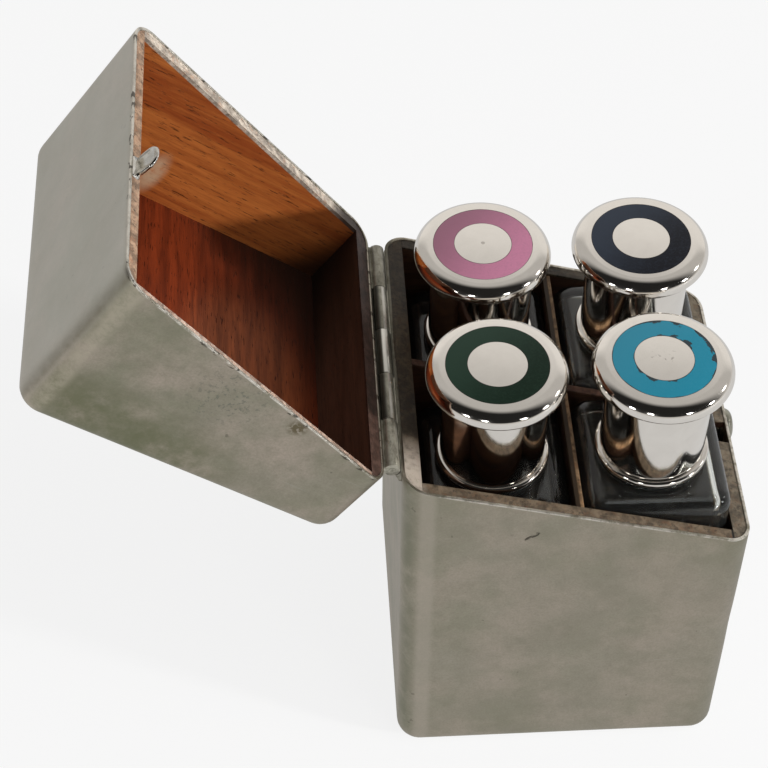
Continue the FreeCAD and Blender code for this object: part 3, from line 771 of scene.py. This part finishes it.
def plated(name, shut_lid, patchy, rim_worn):
    """Worn matt plate: soft clouds of grey, greenish and pinkish tints under a fine grain, and a bright rim.

    The lid is more patchy than the base. It is pale on its catch side, tarnished green along the top edge of
    its front, and has a cream band, partly rubbed and partly a painted highlight, beside a brown line on the
    corner between the two. The base has a painted highlight stripe and painted olive shade at its rounded
    front corner by the hinge, a nick in its front, and painted shade on its rim under the hinge barrel.
    rim_worn is how bright the rim still is beside the hinge.
    """
    f = Finish(name, shut_lid)
    clouds = f.noise(20, detail=7, roughness=0.6)
    blotch = f.noise(7, detail=7, roughness=0.68, shift=0.13)
    mottle = f.noise(2.6, detail=6, roughness=0.75, shift=0.41)
    grain = f.noise(0.5, detail=4, roughness=0.7)
    f.colour = f.mix(f.step(clouds, 0.3, 0.7), PLATE_GREY, PLATE_PALE)
    green = f.step(f.noise(24, detail=7, roughness=0.64, shift=0.31), 0.4, 0.68)
    f.stain((0.32, 0.325, 0.225), green, 0.62 * patchy)
    pink = f.step(f.noise(17, detail=7, roughness=0.64, shift=0.77), 0.4, 0.66)
    f.stain((0.60, 0.51, 0.43), pink, 0.75 * patchy)
    f.stain((0.31, 0.29, 0.215), f.step(blotch, 0.36, 0.74), 0.42 * patchy)
    f.stain((0.27, 0.255, 0.19), f.step(mottle, 0.4, 0.75), 0.32 * patchy)
    f.stain((0.22, 0.205, 0.16), f.step(grain, 0.32, 0.72), 0.26)
    specks = f.step(f.noise(2.2, detail=2, shift=0.5), 0.72, 0.76)
    f.stain((0.12, 0.115, 0.085), specks, 0.5)
    scratch = f.step(f.noise(2.5, stretch=(14, 14, 0.5), detail=2, distortion=0.3), 0.7, 0.73)
    f.stain((0.66, 0.65, 0.6), scratch, 0.12)
    to_catch = f.along(1, 0, 0)
    front = f.step(f.along(0, 1, 0), 1.5 - HALF, 0.4 - HALF)
    by_front = f.step(f.along(0, -1, 0), HALF - 5, HALF - 1.5)
    if shut_lid:
        catch_wall = f.step(to_catch, HALF - 2.5, HALF - 0.4)
        f.stain(CATCH_PALE, catch_wall, f.scaled(blotch, 0.45, 0.8))
        top_edge = f.both(f.step(f.along(0.12, 0, 1), 99, 112), f.step(to_catch, -16, 6), front)
        ragged = f.step(blotch, 0.25, 0.62, 0.2, 0.85)
        f.stain(TARNISHED, top_edge, ragged, f.step(mottle, 0.2, 0.6, 0.75, 1.0))
        # The cream band on the rounded corner is partly rubbed wear and partly a painted highlight
        uneven = f.math("ADD", to_catch, f.both(blotch, 3.0))
        band = f.near(uneven, HALF - 2.2, 0.4, 2.4)
        f.stain(RUBBED_AND_HIGHLIGHT, band, by_front, f.step(mottle, 0.3, 0.62, 0.1, 0.62))
        line = f.near(to_catch, HALF - 0.9, 0.25, 0.8)
        f.stain(CORNER_BROWN, line, by_front, f.step(blotch, 0.3, 0.6, 0.2, 0.6))
        pits = f.step(f.noise(0.8, detail=2), 0.57, 0.64)
        f.stain(PITTED, f.step(f.away(PITS_PLACE), 13, 3), pits, 0.45)
        spots = f.step(f.noise(1.0), 0.38, 0.5)
        f.stain(STAINED, f.step(f.away(STAIN_PLACE), 2.8, 0.8), spots, 0.85)
        from_rim = f.math("ABSOLUTE", f.math("SUBTRACT", f.above_rim(), RIM_GAP))
    else:
        # Painted highlight: a light stripe down the base's front beside its rounded corner on the hinge side
        corner_highlight = f.near(to_catch, 5.2 - HALF, 0.8, 1.8)
        f.stain((0.60, 0.54, 0.46), corner_highlight, front, 0.38)
        # Painted shade: an olive band on the base's rounded front corner on the hinge side
        hinge_side = f.step(f.along(-1, 0, 0), HALF - 4, HALF - 1)
        f.stain(CORNER_SHADE, hinge_side, by_front, f.step(blotch, 0.25, 0.6), 0.7)
        bent = f.math("ADD", f.along(*NICK_ACROSS), f.both(f.noise(1.6, detail=3), 2.0))
        nick = f.both(f.near(bent, 72.3, 0.16, 0.3), f.near(f.along(*NICK_ALONG), 39.5, 1.6, 0.6))
        f.stain((0.07, 0.06, 0.045), nick, front, 0.9)
        from_rim = f.math("ABSOLUTE", f.above_rim())
        # Painted shade on the top of the base's rim under the hinge barrel
        barrel_shade = f.both(f.step(to_catch, 3 - HALF, 0.8 - HALF), f.step(from_rim, 4, 1.2))
        f.stain((0.07, 0.065, 0.047), barrel_shade, f.step(f.along(0, 1, 0), 4 - HALF, 9 - HALF), 0.85)
    worn = f.step(f.noise(3.0, detail=5, roughness=0.7), 0.36, 0.58)
    worn = f.both(worn, f.step(to_catch, 2 - HALF, 8 - HALF, rim_worn, 1.0))
    f.stain(RIM_BRIGHT, f.step(from_rim, 0.5, 0.2), worn)
    if shut_lid:
        dashes = f.step(f.noise(1.0, stretch=(2.6, 2.6, 1), detail=2, shift=0.9), 0.61, 0.65)
        f.stain(RIM_DARK, f.step(from_rim, 1.0, 0.6), dashes, 0.85)
    f.set(Metallic=1.0, Roughness=f.scaled(clouds, 0.36, 0.56))
    f.bump(clouds, 0.05)
    f.bump(grain, 0.006)
    f.bump(scratch, 0.01)
    return f.material


# Light and dark tones of the woods
DEEP = ((0.105, 0.052, 0.030), (0.048, 0.025, 0.015))
WARM = ((0.47, 0.145, 0.033), (0.27, 0.06, 0.014))
RED = ((0.165, 0.026, 0.0067), (0.078, 0.0125, 0.004))
BROWN = ((0.085, 0.034, 0.017), (0.045, 0.019, 0.010))
COCOA = ((0.145, 0.078, 0.051), (0.078, 0.043, 0.029))

# Marks on the wood: dark and light tone of a patch of painted light, the tint of painted shade and the way it
# thins out, a pale patch, scuffs and a seam
LIT_TONES = ((0.15, 0.041, 0.0165), (0.32, 0.086, 0.031))
SHADE_TINT = (0.012, 0.0095, 0.007)
SHADE_WAY = (0.8, -0.6, -0.5)
LID_PALE_PATCH = (0.52, 0.37, 0.24)
BASE_SCUFF = (0.54, 0.46, 0.38)
SEAM_DARK = (0.012, 0.01, 0.008)
LONG_GRAIN = 14.0
SHORT_GRAIN = 9.0


def mahogany(name, grain, tones, shut_lid=False, top=None, edge=None, wear=0.4, pale=None, seam=None,
             black=None, painted_shade=None, painted_light=None, wax=0.3):
    """Waxed wood: streaks and short dark pores drawn out along the grain.

    top is the height over the slanted rim at which the board ends. Its edge has its own soiled colour, and
    wear is how far down the board, in millimetres, that reaches. pale is a paler place with its half sizes,
    seam a dark joint at one x, black the two x between which the edge turns from black to its colour, and
    dusky the two distances along SHADE_WAY between which the board turns from painted shade to its own
    colour. faded is a patch of painted light with its half sizes, and wax the board's shine.
    """
    f = Finish(name, shut_lid)
    light, dark = tones
    stretch = tuple(LONG_GRAIN if axis == grain else 1.0 for axis in "XYZ")
    short = tuple(SHORT_GRAIN if axis == grain else 1.0 for axis in "XYZ")
    streaks = f.noise(2.2, stretch, detail=6, roughness=0.68, distortion=0.4)
    bands = f.noise(9.0, stretch, detail=3, roughness=0.5, shift=0.4)
    fibre = f.noise(0.42, stretch, detail=3, roughness=0.6)
    pores = f.step(f.noise(0.36, short, detail=3, shift=0.8), 0.6, 0.68)
    tone = f.math("ADD", f.both(streaks, 0.65), f.both(bands, 0.35))
    pair = (dark, light)
    # Painted light: lighter tones inside an oval patch
    if painted_light is not None:
        patch = f.step(f.oval(*painted_light), 1.0, 0.4)
        pair = [f.mix(patch, own, lighter) for own, lighter in zip(pair, LIT_TONES)]
    f.colour = f.mix(f.step(tone, 0.36, 0.64), *pair)
    f.stain(dimmed(dark, 0.5), f.step(fibre, 0.4, 0.72), 0.3)
    f.stain(dimmed(dark, 0.22), pores, 0.8)
    cloud = f.noise(2.4, detail=6, roughness=0.72)
    # Painted shade, darkest towards the lid's hinge corner
    if painted_shade is not None:
        f.stain(SHADE_TINT, f.step(f.along(*SHADE_WAY), *painted_shade, 0.88, 0.0))
    if top is not None:
        heights = (f.above_rim(), top) if shut_lid else (top, f.above_rim())
        down = f.math("SUBTRACT", *heights)
        bare = f.step(down, wear + 0.25, wear)
        soiled = f.mix(f.step(cloud, 0.38, 0.64), dimmed(edge, 0.4), edge)
        grime = f.step(f.noise(1.1, detail=5, roughness=0.7, shift=0.3), 0.53, 0.64)
        rust = f.step(f.noise(1.6, detail=4, roughness=0.7, shift=0.6), 0.52, 0.66)
        soiled = f.mix(f.both(rust, 0.5), soiled, (0.7 * edge[0], 0.45 * edge[1], 0.33 * edge[2]))
        soiled = f.mix(f.both(grime, 0.75), soiled, dimmed(edge, 0.15))
        # Below the first x of black the edge turns black: beside the hinge on the lid's back board, and on
        # the hinge-side half of the long divider's top
        if black is not None:
            soiled = f.mix(f.step(f.along(1, 0, 0), *black), dimmed(edge, 0.1), soiled)
        f.stain(soiled, bare, 0.94)
    # A paler patch: a scuff on the base's boards, and a pale place beside the catch tongue on the lid's back
    # board
    if pale is not None:
        pale_patch = f.both(f.step(f.oval(*pale), 1.0, 0.25), f.step(cloud, 0.25, 0.55, 0.3, 1.0))
        f.stain(LID_PALE_PATCH if shut_lid else BASE_SCUFF, pale_patch, 0.85)
    if seam is not None:
        f.stain(SEAM_DARK, f.near(f.along(1, 0, 0), seam, 0.2, 0.15))
    f.set(Roughness=f.scaled(streaks, 0.34, 0.6), Specular_IOR_Level=wax)
    f.bump(fibre, 0.02)
    f.bump(f.inverse(pores), 0.03)
    return f.material


def polished(name, middle, spoilt, marks, waves):
    """Bright silver plate with faint wipe marks, waves of a depth, and small pits in the middle of the top.

    spoilt is how far from the middle the pits reach, and marks the two levels of noise between which they
    show.
    """
    f = Finish(name, middle=middle)
    wipes = f.noise(5, detail=5, roughness=0.6, distortion=0.6)
    hair = f.step(f.noise(0.5, stretch=(16, 2, 16), detail=2), 0.66, 0.72)
    f.colour = f.mix(f.step(wipes, 0.3, 0.75), (0.90, 0.86, 0.805), (0.86, 0.82, 0.765))
    pits = f.both(f.step(f.away((0, 0, 0)), spoilt, 0.7 * spoilt), f.step(f.noise(1.1, detail=4), *marks))
    f.stain((0.25, 0.22, 0.195), pits, 0.45)
    f.set(Metallic=1.0, Roughness=f.scaled(wipes, 0.06, 0.12))
    f.bump(wipes, waves)
    f.bump(hair, 0.0008)
    f.bump(f.inverse(pits), 0.02)
    return f.material


def enamel(name, middle, light, dark, chipped):
    """Glossy inlay that changes from back left to front right, with a thin dark joint along both its edges.

    Chips widen the joint, mostly on the outer edge at the back right and at two ends of the inner edge.
    """
    f = Finish(name, middle=middle)
    radius = f.math("DIVIDE", f.length(f.mapped(scale=(1, 1, 0))), MM)
    clouds = f.noise(6, detail=5, roughness=0.6)
    grains = f.noise(0.45, detail=2)
    lean = f.math("ADD", f.both(clouds, 6), f.along(0.75, -0.6, 0))
    f.colour = f.mix(f.step(lean, -7, 11), dark, light)
    f.stain(dark, f.step(grains, 0.4, 0.75), 0.25)
    to_edge = f.math("MINIMUM", f.math("SUBTRACT", RING_OUT, radius), f.math("SUBTRACT", radius, RING_IN))
    outer = f.step(radius, RING_MIDDLE - 0.1, RING_MIDDLE + 0.1)
    back_right = f.both(outer, f.step(f.along(0.75, 0.66, 0), 1, 8))
    both_ends = f.math("ABSOLUTE", f.along(0.45, 0.89, 0))
    hub = f.both(f.inverse(outer), f.step(both_ends, 3.8, 6.0))
    zone = f.step(f.math("MAXIMUM", back_right, hub), 0.0, 1.0, 0.12, 1.0)
    reach = f.step(f.noise(2.8, detail=5, roughness=0.58), 0.40, 0.68)
    ragged = f.both(reach, zone, chipped)
    lost = f.step(f.math("SUBTRACT", to_edge, ragged), 0.10, 0.06)
    f.stain((0.05, 0.04, 0.035), lost, 0.9)
    gloss = f.math("ADD", f.scaled(clouds, 0.12, 0.2), f.both(lost, 0.3))
    f.set(Roughness=gloss, Specular_IOR_Level=0.2)
    f.bump(f.inverse(lost), 0.08)
    f.bump(grains, 0.003)
    return f.material


def clear_glass(name, ground=False):
    """Old clear glass, faintly grey, with slight waves and a little dust; a ground plug is frosted."""
    f = Finish(name)
    waves = f.noise(14, detail=2)
    dust = f.step(f.noise(1.4, detail=5, roughness=0.7), 0.55, 0.8)
    f.colour = f.mix(dust, (0.90, 0.93, 0.895), (0.80, 0.82, 0.785))
    low, high = (0.3, 0.45) if ground else (0.0, 0.09)
    clear = f.scaled(dust, 0.992, 0.95)
    f.set(Roughness=f.scaled(dust, low, high), IOR=1.5, Transmission_Weight=clear)
    f.bump(waves, 0.02)
    return f.material


def dull_metal(name, light, dark, low, high):
    """Bare or thinly plated fittings: patchy grey with darker spots, and roughness from low to high."""
    f = Finish(name)
    clouds = f.noise(3.5, detail=5, roughness=0.65)
    spots = f.step(f.noise(1.0, detail=3, shift=0.6), 0.6, 0.72)
    f.colour = f.mix(f.step(clouds, 0.3, 0.7), dark, light)
    f.stain(dimmed(dark, 0.35), spots, 0.5)
    f.set(Metallic=1.0, Roughness=f.scaled(clouds, low, high))
    f.bump(clouds, 0.012)
    return f.material


KNUCKLES = 5


def barrel_plate(name, length):
    """Dull plate of the hinge, with painted shade on the base side of the middle knuckle and painted
    highlights along the middle three.

    All knuckles have one length. The outer two are evenly grey, and the others have painted shade on the
    lid's side.
    """
    f = Finish(name)
    clouds = f.noise(3.5, detail=5, roughness=0.65)
    mottle = f.noise(0.9, stretch=(1, 2.5, 1), detail=5, roughness=0.7, shift=0.6)
    off = f.math("SUBTRACT", f.along(1, 0, 0), AXIS_X)
    inner = f.near(f.along(0, 1, 0), 0, length / 2 - 0.3, 0.3)
    three = f.near(f.along(0, 1, 0), 0, 1.5 * length - 0.3, 0.3)
    f.colour = f.mix(f.step(clouds, 0.3, 0.7), (0.26, 0.245, 0.195), (0.43, 0.41, 0.335))
    f.stain((0.10, 0.092, 0.066), f.step(mottle, 0.42, 0.7), 0.65)
    # Painted shade on the lid's side of the middle three knuckles
    f.stain((0.03, 0.028, 0.02), f.step(off, 0.3, -0.6), three, 0.9)
    # Painted shade on the base side of the middle knuckle
    f.stain((0.06, 0.056, 0.042), f.step(off, 0.7, 1.3), inner, 0.6)
    # Painted highlight lines along the middle three knuckles, and a second one along the middle knuckle
    shine = f.both(f.near(off, 0.75, 0.1, 0.35), three, f.step(mottle, 0.3, 0.55, 0.2, 0.7))
    shine = f.math("MAXIMUM", shine, f.both(f.near(off, 0.2, 0.25, 0.35), inner))
    f.stain((0.86, 0.83, 0.76), shine)
    f.set(Metallic=0.6, Roughness=f.scaled(clouds, 0.26, 0.42))
    f.bump(clouds, 0.012)
    return f.material


def cork_disc(name):
    """Natural cork: warm tan grains with dark pits."""
    f = Finish(name)
    grains = f.noise(1.2, detail=4, roughness=0.7)
    pits = f.step(f.noise(1.9, detail=2, shift=0.4), 0.62, 0.7)
    f.colour = f.mix(grains, (0.42, 0.25, 0.12), (0.66, 0.46, 0.27))
    f.stain((0.12, 0.06, 0.03), pits, 0.8)
    f.set(Roughness=f.scaled(grains, 0.75, 0.95))
    f.bump(f.inverse(pits), 0.12)
    return f.material


WELD_REACH = 1e-6
BEVEL_ANGLE = 40
BEVEL_STEPS = 2


def paint(piece, material):
    """Make a finish the only one of a piece."""
    piece.data.materials.clear()
    piece.data.materials.append(material)


def dress(piece, body, slot, material, *nodes):
    """Give a new piece its finish and the body it rides on, and hide the CAD nodes it stands for; slot is not
    used.
    """
    paint(piece, material)
    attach(piece, body)
    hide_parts(*nodes)


def keep(node, material, ease=0.0):
    """Show a CAD node itself with a finish; a small bevel eases its welded edges."""
    piece = frame["nodes"][node]
    paint(piece, material)
    weld = piece.modifiers.new("weld", "WELD")
    weld.merge_threshold = WELD_REACH
    if ease:
        bevel = piece.modifiers.new("eased", "BEVEL")
        bevel.width = ease * MM
        bevel.segments = BEVEL_STEPS
        bevel.limit_method = "ANGLE"
        bevel.angle_limit = math.radians(BEVEL_ANGLE)


# Case, button and lining
BOARD_SET = 0.25
BOARD_EASE = 0.3
DIVIDER_DROP = 1.0
DIVIDER_EASE = 0.2
HINGE_EASE = 0.08
BUTTON_TINTS = ((0.46, 0.455, 0.39), (0.30, 0.29, 0.23))
CATCH_TINTS = ((0.82, 0.80, 0.75), (0.56, 0.54, 0.49))
CROSS_EDGE = (0.12, 0.06, 0.04)
LONG_EDGE = (0.42, 0.26, 0.14)
# Middle and half sizes of a patch of painted light on the lid's top board
TOP_LIT_PATCH = ((-15, -6, 114.8), (21, 30, 10))
BASE_LINING = {
    "left": ("Y", {"edge": (0.075, 0.055, 0.032), "pale": ((-36.0, -37.0, 97.5), (7, 17, 7))}),
    "right": ("Y", {"edge": (0.19, 0.155, 0.11)}),
    "front": ("X", {"edge": (0.20, 0.15, 0.10), "pale": ((-37.0, -37.0, 97.3), (5, 5, 5)), "seam": 33.7}),
    "back": ("X", {"edge": (0.075, 0.06, 0.042)}),
}
# The lid's boards are one wood: the darker tones of its hinge, front and catch boards are partly painted
# shade, and its hinge and back boards get painted shade towards the hinge corner
LID_LINING = {
    "left": ("Y", COCOA, {"edge": (0.075, 0.042, 0.032), "painted_shade": (-104, -78)}),
    "right": ("Y", BROWN, {"edge": (0.40, 0.26, 0.17)}),
    "front": ("X", BROWN, {"edge": (0.50, 0.36, 0.28)}),
    "back": ("X", WARM, {
        "edge": (0.60, 0.53, 0.44),
        "wear": 0.8,
        "pale": ((13.7, 34.7, 107.8), (3.4, 3, 8)),
        "black": (-30, -26),
        "painted_shade": (-103, -93),
    }),
}

base_plate = plated("base_plate", False, patchy=0.68, rim_worn=0.08)
lid_plate = plated("lid_plate", True, patchy=1.1, rim_worn=0.25)
dress(base_shell, "base", "plated_sheet", base_plate, "base_shell")
dress(lid_shell, "lid", "plated_sheet", lid_plate, "lid_shell")
button_plate = dull_metal("button_plate", *BUTTON_TINTS, 0.2, 0.4)
dress(button, "latch", "button_metal", button_plate, "latch_button")
for side, (grain, look) in BASE_LINING.items():
    wood = mahogany(f"base_{side}_wood", grain, DEEP, top=-BOARD_SET, **look)
    keep(f"base_board_{side}", wood, BOARD_EASE)
for side, (grain, tones, look) in LID_LINING.items():
    wood = mahogany(f"lid_{side}_wood", grain, tones, shut_lid=True, top=RIM_GAP + BOARD_SET, **look)
    keep(f"lid_board_{side}", wood, BOARD_EASE)
keep("base_floor_board", mahogany("base_floor_wood", "X", DEEP))
# The lid's top board gets painted shade towards the hinge corner and a patch of painted light
top_wood = mahogany("lid_top_wood", "Y", RED, shut_lid=True, painted_shade=(-99.4, -67), painted_light=TOP_LIT_PATCH, wax=0.12)
keep("lid_top_board", top_wood)
cross_wood = mahogany("divider_cross_wood", "X", DEEP, top=-DIVIDER_DROP, edge=CROSS_EDGE)
keep("divider_cross", cross_wood, DIVIDER_EASE)
_, long_high = extent("divider_long")
long_top = long_high[2] - RIM_MIDDLE
long_wood = mahogany("divider_long_wood", "Y", DEEP, top=long_top, edge=LONG_EDGE, wear=0.9, black=(0.0, 0.3))
keep("divider_long", long_wood, DIVIDER_EASE)

leaf_low, leaf_high = extent("lid_hinge_leaf")
hinge_plate = barrel_plate("hinge_plate", (leaf_high[1] - leaf_low[1]) / KNUCKLES)
for node in ("base_hinge_leaf", "lid_hinge_leaf", "hinge_pin"):
    keep(node, hinge_plate, HINGE_EASE)
catch_steel = dull_metal("catch_plate", *CATCH_TINTS, 0.1, 0.22)
dress(blade, "lid", "catch_steel", catch_steel, "lid_catch_tongue")
dress(blade_root, "lid", "catch_steel", catch_steel, "lid_catch_tongue")
keep("latch_bolt", catch_steel)
dress(spring, "base", "catch_steel", catch_steel, "latch_spring")
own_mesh(spring)

# Caps with their rings, stoppers and corks, and the bottles.
# Light and dark tint of each ring, and how far it is chipped
ENAMELS = {
    "rose": ((0.67, 0.26, 0.40), (0.42, 0.185, 0.26), 0.05),
    "navy": ((0.006, 0.007, 0.012), (0.038, 0.050, 0.074), 0.05),
    "green": ((0.003, 0.017, 0.008), (0.021, 0.052, 0.033), 0.06),
    "turquoise": ((0.022, 0.29, 0.42), (0.045, 0.32, 0.455), 1.1),
}
# For each cap's top how far its pits reach, the levels of noise between which they show, and its waves
CLEAN_TOP = (0.2, (0.7, 0.8), 0.0015)
SPOILT = {
    "rose": (0.5, (-0.2, -0.1), 0.0015),
    "navy": CLEAN_TOP,
    "green": CLEAN_TOP,
    "turquoise": (3.2, (0.58, 0.66), 0.006),
}
glass = clear_glass("bottle_clear")
plug_glass = clear_glass("plug_ground", True)
cork = cork_disc("cork_grain")
for colour in COLOURS:
    low, high = extent(f"cap_{colour}")
    middle = foot_middle(low, high)
    top = high[2] - low[2]
    crest = middle + (0, 0, top)
    profile, ceiling = cap_profile(top)
    underside = middle + (0, 0, ceiling)
    cap = surface(f"mushroom_cap_{colour}", turned_rows(profile) + middle, crest, underside)
    silver = polished(f"cap_plate_{colour}", crest, *SPOILT[colour])
    dress(sharp_edged(cap), f"cap_{colour}", "cap_silver", silver, f"cap_{colour}")
    ring_profile = np.vstack((
        top_run(RING_IN, RING_OUT, 9, top - RING_SUNK),
        ((RING_OUT, top - RING_DEEP), (RING_IN, top - RING_DEEP)),
    ))
    ring = surface(f"enamel_inlay_{colour}", turned_rows(ring_profile) + middle)
    inlay = enamel(f"inlay_{colour}", crest, *ENAMELS[colour])
    dress(sharp_edged(ring), f"cap_{colour}", f"enamel_{colour}", inlay, f"enamel_ring_{colour}")
    keep(f"stopper_{colour}", plug_glass)
    keep(f"cork_{colour}", cork)

    low, high = extent(f"bottle_{colour}")
    half = (high - low)[:2] / 2
    middle = foot_middle(low, high)
    rows = bottle_rows(half, high[2] - low[2] - NECK_HEIGHT)
    bottle = surface(f"square_bottle_{colour}", rows + middle, middle + (0, 0, GLASS_FLOOR), middle)
    dress(bottle, f"bottle_{colour}", "bottle_glass", glass, f"bottle_{colour}")

# White floor: to the camera and in mirrors mostly an even glow, so that only a faint shadow shows
FLOOR_HALF = 6.0
FLOOR_GLOW = 0.84
FLOOR_MIRRORED = 0.62
FLOOR_DROP = 0.0003
FLOOR_TINT = (0.9, 0.9, 0.9, 1)
WHITE = (1, 1, 1, 1)
floor_mesh = bpy.data.meshes.new("pale_floor")
floor_corners = np.array(((-1, -1, 0), (1, -1, 0), (1, 1, 0), (-1, 1, 0))) * FLOOR_HALF - (0, 0, FLOOR_DROP)
floor_mesh.from_pydata(floor_corners.tolist(), [], [(0, 1, 2, 3)])
floor = linked("pale_floor", floor_mesh)
floor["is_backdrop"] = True
paper = bpy.data.materials.new("white_paper")
floor_mesh.materials.append(paper)
tree = Tree(paper)
tree.nodes.clear()
rays = tree.add("ShaderNodeLightPath").outputs
seen = tree.math("MAXIMUM", rays["Is Camera Ray"], tree.passed_on(rays))
strength = tree.step(rays["Is Camera Ray"], 0, 1, FLOOR_MIRRORED, 1.0)
glow = tree.glow("ShaderNodeEmission", WHITE, strength)
matt = tree.add("ShaderNodeBsdfDiffuse", {"Color": FLOOR_TINT}).outputs[0]
tree.add("ShaderNodeOutputMaterial", {"Surface": tree.blend(tree.both(seen, FLOOR_GLOW), matt, glow)})

# Room: white to the camera, a soft light that is stronger from the right, and for mirrors a pale wall
# behind the object, a dim room in front of it and a pale band along the horizon
ROOM_TINT = (1.0, 0.97, 0.93, 1)
WALL_WAY = (0.2, 1.0, 0.0)
ROOM_DIM = 0.015
WALL_PALE = 0.48
WALL_BRIGHT = 0.30
HORIZON_PALE = 0.6
LEFT_LIGHT = 0.07
RIGHT_LIGHT = 0.46
world = bpy.data.worlds.new("studio")
scene.world = world
tree = Tree(world)
tree.nodes.clear()
rays = tree.add("ShaderNodeLightPath").outputs
way = tree.add("ShaderNodeTexCoord").outputs["Generated"]
behind = tree.dot(way, WALL_WAY)
pale_wall = tree.step(behind, -0.2, 0.35, ROOM_DIM, WALL_PALE)
bright_wall = tree.step(behind, 0.6, 0.78, 0.0, WALL_BRIGHT)
horizon = tree.step(tree.dot(way, (0, 0, 1)), 0.22, 0.06, 0.0, HORIZON_PALE)
pale = tree.math("MAXIMUM", tree.math("ADD", pale_wall, bright_wall), horizon)
room = tree.glow("ShaderNodeBackground", ROOM_TINT, pale)
side = tree.step(tree.dot(way, (1, 0, 0)), -0.7, 0.7, LEFT_LIGHT, RIGHT_LIGHT)
soft = tree.glow("ShaderNodeBackground", WHITE, side)
white = tree.glow("ShaderNodeBackground", WHITE, 1.0)
lit = tree.blend(tree.passed_on(rays), soft, room)
tree.add("ShaderNodeOutputWorld", {"Surface": tree.blend(rays["Is Camera Ray"], lit, white)})


# Lamps in metres and watts: one from the right, a soft one from above, and small ones that mirrors show
AIM = (-0.02, 0.0, 0.09)
ROOM_LAMP_SIZE = 0.15
ROOM_LAMPS = (
    ((-0.88, -0.82, 0.50), 0.9),
    ((-0.41, -1.12, 0.50), 0.9),
    ((0.66, -1.0, 0.50), 0.9),
    ((1.1, -0.42, 0.52), 0.9),
    ((1.15, 0.12, 0.55), 0.4),
)


def lamp(name, place, size, power, in_mirrors):
    """Square lamp that faces the object: Rz(c) Rx(a) turns its -Z axis towards the aim."""
    light = bpy.data.lights.new(name, "AREA")
    light.size = size
    light.energy = power
    holder = linked(name, light)
    holder.location = place
    x, y, z = np.array(AIM) - np.array(place)
    holder.rotation_euler = (math.atan2(math.hypot(x, y), -z), 0, math.atan2(-x, y))
    holder.visible_glossy = in_mirrors


lamp("side_lamp", (2.2, -0.95, 0.48), 0.2, 64.0, False)
lamp("soft_top_lamp", (0.6, -0.5, 1.3), 1.0, 4.5, False)
for i, (place, power) in enumerate(ROOM_LAMPS):
    lamp(f"room_lamp_{i}", place, ROOM_LAMP_SIZE, power, True)

# Camera: sensor and lens in millimetres, place in metres and turn in degrees
CAMERA_SENSOR = 36.0
CAMERA_LENS = 97.74
CAMERA_PLACE = (-0.058745, -0.305721, 0.4336)
CAMERA_TURN = (41.6, -0.362, -3.129)
camera = linked("camera", bpy.data.cameras.new("camera"))
camera.data.sensor_width = CAMERA_SENSOR
camera.data.lens = CAMERA_LENS
camera.location = CAMERA_PLACE
camera.rotation_euler = tuple(math.radians(a) for a in CAMERA_TURN)
scene.camera = camera
scene.view_settings.view_transform = "Standard"

low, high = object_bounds()
